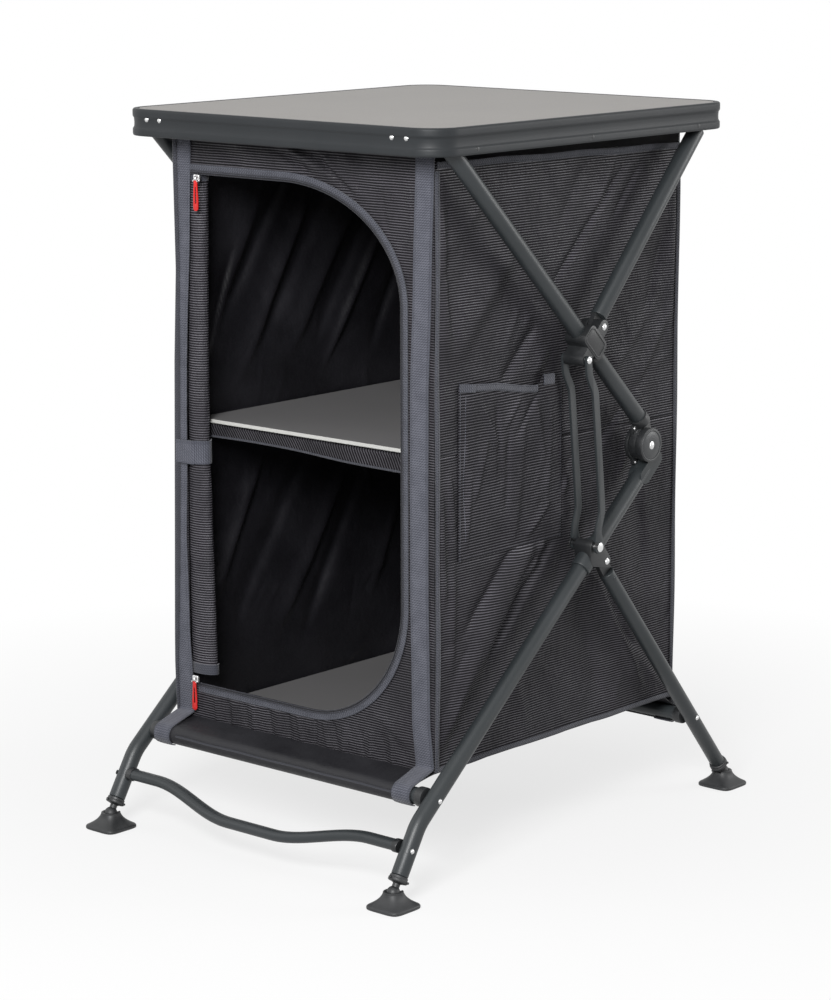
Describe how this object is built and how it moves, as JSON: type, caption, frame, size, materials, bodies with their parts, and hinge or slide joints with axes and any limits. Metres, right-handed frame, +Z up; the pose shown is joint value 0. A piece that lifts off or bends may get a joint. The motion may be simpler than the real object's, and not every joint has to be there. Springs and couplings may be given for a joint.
{
  "type": "folding camping cupboard",
  "caption": "Folding camp cupboard: framed table top on two crossed side frames with a zip-up fabric cabinet, shelf, side pocket and tilting feet.",
  "frame": {"origin": "centre of the whole object's footprint box, on the floor", "axes": "+Z up, the zipped door faces -Y, the width runs along X"},
  "size_m": [0.556, 0.7466, 0.95],
  "materials": {
    "tube": "satin powder coat",
    "rim": "satin powder coat",
    "top": "pale warm grey laminate",
    "fitting": "moulded black",
    "cloth": "ribbed dark grey weave",
    "lining": "smooth black weave",
    "webbing": "woven band, satin",
    "board": "grey-faced fibreboard, white edge",
    "metal": "bright",
    "pull": "red moulded pull"
  },
  "bodies": {
    "table_top": {"top_panel": "top", "top_rim": "rim", "front_pivot_bracket_left": "fitting", "front_pivot_bracket_right": "fitting", "rear_rest_bracket_left": "fitting", "rear_rest_bracket_right": "fitting", "front_panel": "cloth", "right_wall": "cloth", "left_wall": "cloth", "back_wall": "cloth", "side_pocket": "cloth", "door_roll": "cloth", "roll_strap": "webbing", "zip_tape": "webbing", "front_webbing_left": "webbing", "front_webbing_right": "webbing", "rear_webbing_left": "webbing", "rear_webbing_right": "webbing", "shelf_sling": "lining", "floor_fabric": "cloth"},
    "upper_frame_left": {"upper_front_tube_left": "tube", "upper_hub_left": "fitting", "knee_inner_disc_left": "fitting"},
    "rear_tube_left": {"upper_rear_tube_left": "tube", "rear_tube_tongue_left": "fitting"},
    "strut_left": {"locking_strut_left": "tube"},
    "upper_frame_right": {"upper_front_tube_right": "tube", "upper_hub_right": "fitting", "knee_inner_disc_right": "fitting"},
    "rear_tube_right": {"upper_rear_tube_right": "tube", "rear_tube_tongue_right": "fitting"},
    "strut_right": {"locking_strut_right": "tube"},
    "front_legs": {"front_leg_left": "tube", "knee_outer_disc_left": "fitting", "lower_hub_left": "fitting", "front_leg_right": "tube", "knee_outer_disc_right": "fitting", "lower_hub_right": "fitting", "front_fabric_bar": "tube", "curved_brace": "tube", "front_foot_left_stud": "fitting", "front_foot_right_stud": "fitting"},
    "rear_legs": {"rear_leg_left": "tube", "rear_leg_tongue_left": "fitting", "rear_leg_right": "tube", "rear_leg_tongue_right": "fitting", "rear_fabric_bar": "tube", "rear_foot_left_stud": "fitting", "rear_foot_right_stud": "fitting"},
    "front_foot_left_sole": {"front_foot_left": "fitting"},
    "front_foot_right_sole": {"front_foot_right": "fitting"},
    "rear_foot_left_sole": {"rear_foot_left": "fitting"},
    "rear_foot_right_sole": {"rear_foot_right": "fitting"},
    "shelf": {"shelf_board": "board"},
    "cabinet_floor": {"floor_board": "board"},
    "upper_slider": {"upper_zip_slider": "metal"},
    "lower_slider": {"lower_zip_slider": "metal"},
    "upper_pull": {"upper_zip_pull": "pull"},
    "lower_pull": {"lower_zip_pull": "pull"}
  },
  "joints": [
    {"name": "fold", "type": "hinge", "parent": "table_top", "child": "upper_frame_left", "pos_m": [-0.251, -0.24423, 0.9265], "axis": [1, 0, 0], "range_deg": [0, 37.5], "deforming": ["front_panel", "right_wall", "left_wall", "back_wall", "side_pocket", "door_roll", "roll_strap", "zip_tape", "front_webbing_left", "front_webbing_right", "rear_webbing_left", "rear_webbing_right", "shelf_sling", "floor_fabric"]},
    {"name": "fold_right", "type": "hinge", "parent": "table_top", "child": "upper_frame_right", "pos_m": [0.251, -0.24423, 0.9265], "axis": [1, 0, 0], "range_deg": [0, 37.5]},
    {"name": "knee", "type": "hinge", "parent": "upper_frame_left", "child": "front_legs", "pos_m": [0, 0.14827, 0.5107], "axis": [1, 0, 0], "range_deg": [-69.62, 0]},
    {"name": "rear_leg", "type": "hinge", "parent": "front_legs", "child": "rear_legs", "pos_m": [0, 0.05893, 0.36981], "axis": [1, 0, 0], "range_deg": [-80.18, 0]},
    {"name": "rear_tube_left", "type": "hinge", "parent": "upper_frame_left", "child": "rear_tube_left", "pos_m": [-0.251, 0.04319, 0.67891], "axis": [1, 0, 0], "range_deg": [-86.89, 0]},
    {"name": "rear_tube_right", "type": "hinge", "parent": "upper_frame_right", "child": "rear_tube_right", "pos_m": [0.251, 0.04319, 0.67891], "axis": [1, 0, 0], "range_deg": [-86.89, 0]},
    {"name": "strut_swing_left", "type": "hinge", "parent": "upper_frame_left", "child": "strut_left", "pos_m": [-0.251, 0.0074, 0.64047], "axis": [1, 0, 0], "range_deg": [0, 35.18]},
    {"name": "strut_swing_right", "type": "hinge", "parent": "upper_frame_right", "child": "strut_right", "pos_m": [0.251, 0.0074, 0.64047], "axis": [1, 0, 0], "range_deg": [0, 35.18]},
    {"name": "shelf_lift", "type": "slide", "parent": "table_top", "child": "shelf", "axis": [0, 0, 1], "range_m": [0, 0.295]},
    {"name": "floor_lift", "type": "slide", "parent": "table_top", "child": "cabinet_floor", "axis": [0, 0, 1], "range_m": [0, 0.604]},
    {"name": "front_foot_left_tilt", "type": "hinge", "parent": "front_legs", "child": "front_foot_left_sole", "pos_m": [-0.251, -0.34627, 0.02], "axis": [1, 0, 0], "range_deg": [-15, 15]},
    {"name": "front_foot_right_tilt", "type": "hinge", "parent": "front_legs", "child": "front_foot_right_sole", "pos_m": [0.251, -0.34627, 0.02], "axis": [1, 0, 0], "range_deg": [-15, 15]},
    {"name": "rear_foot_left_tilt", "type": "hinge", "parent": "rear_legs", "child": "rear_foot_left_sole", "pos_m": [-0.251, 0.34627, 0.02], "axis": [1, 0, 0], "range_deg": [-15, 15]},
    {"name": "rear_foot_right_tilt", "type": "hinge", "parent": "rear_legs", "child": "rear_foot_right_sole", "pos_m": [0.251, 0.34627, 0.02], "axis": [1, 0, 0], "range_deg": [-15, 15]},
    {"name": "zip_upper", "type": "slide", "parent": "table_top", "child": "upper_slider", "axis": [1, 0, 0], "range_m": [0, 0.16]},
    {"name": "zip_lower", "type": "slide", "parent": "cabinet_floor", "child": "lower_slider", "axis": [1, 0, 0], "range_m": [0, 0.2]},
    {"name": "pull_upper", "type": "hinge", "parent": "upper_slider", "child": "upper_pull", "pos_m": [-0.178, -0.24123, 0.8581], "axis": [1, 0, 0], "range_deg": [-80, 0]},
    {"name": "pull_lower", "type": "hinge", "parent": "lower_slider", "child": "lower_pull", "pos_m": [-0.195, -0.24123, 0.1891], "axis": [1, 0, 0], "range_deg": [-80, 0]}
  ],
  "couplings": [
    {"joint": "fold_right", "follows": "fold", "ratio": 1},
    {"joint": "knee", "follows": "fold", "ratio": -1.8553},
    {"joint": "rear_leg", "follows": "fold", "ratio": -2.1368},
    {"joint": "rear_tube_left", "follows": "fold", "ratio": -2.3158},
    {"joint": "rear_tube_right", "follows": "fold", "ratio": -2.3158},
    {"joint": "strut_swing_left", "follows": "fold", "ratio": 0.9368},
    {"joint": "strut_swing_right", "follows": "fold", "ratio": 0.9368},
    {"joint": "shelf_lift", "follows": "fold", "m_per_rad": 0.4502},
    {"joint": "floor_lift", "follows": "fold", "m_per_rad": 0.9223}
  ]
}
